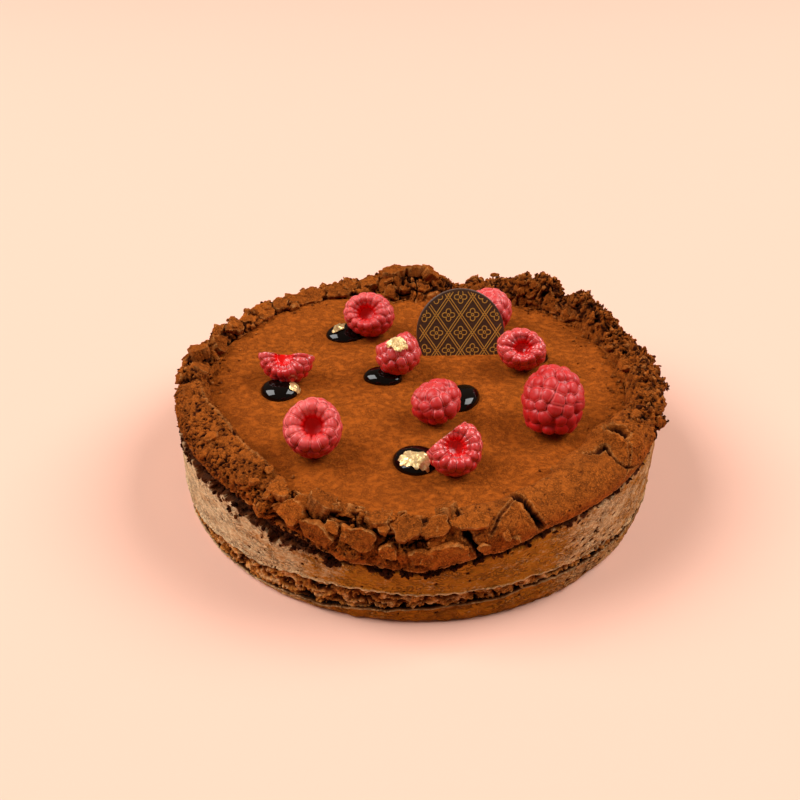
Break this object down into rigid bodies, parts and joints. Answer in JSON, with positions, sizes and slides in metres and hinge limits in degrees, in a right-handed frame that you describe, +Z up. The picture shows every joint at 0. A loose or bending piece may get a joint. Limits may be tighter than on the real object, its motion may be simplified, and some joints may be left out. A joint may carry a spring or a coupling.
{
  "type": "chocolate cake",
  "caption": "Round layered chocolate cake with a craggy baked rim, a cocoa-dusted mousse top, raspberries, dark glaze drops and an upright chocolate disc.",
  "frame": {"origin": "centre of the cake's underside", "axes": "+Z up, -Y towards the front, where the picture is taken from, +X to its right"},
  "size_m": [0.1826, 0.1828, 0.059],
  "materials": {
    "base": "dense, dark, fine crumb",
    "sponge": "rough, open chocolate crumb",
    "mousse": "smooth moulded mousse with fine pits",
    "crust": "baked, craggy, dusted with cocoa",
    "cocoa": "level mousse under a fine layer of cocoa powder",
    "raspberry": "moist, with fine hairs",
    "glaze": "wet and glossy, with scraps of gold leaf",
    "disc": "satin dark chocolate with fine gold lines"
  },
  "bodies": {
    "root": {"base_layer": "base", "sponge_layer": "sponge", "mousse_layer": "mousse", "baked_crust": "crust", "cocoa_mousse": "cocoa", "chocolate_disc": "disc", "raspberry_1": "raspberry", "raspberry_2": "raspberry", "raspberry_3": "raspberry", "raspberry_4": "raspberry", "raspberry_5": "raspberry", "raspberry_6": "raspberry", "raspberry_7": "raspberry", "raspberry_8": "raspberry", "raspberry_9": "raspberry", "glaze_drop_1": "glaze", "glaze_drop_2": "glaze", "glaze_drop_3": "glaze", "glaze_drop_4": "glaze", "glaze_drop_5": "glaze", "glaze_drop_6": "glaze"}
  },
  "joints": []
}
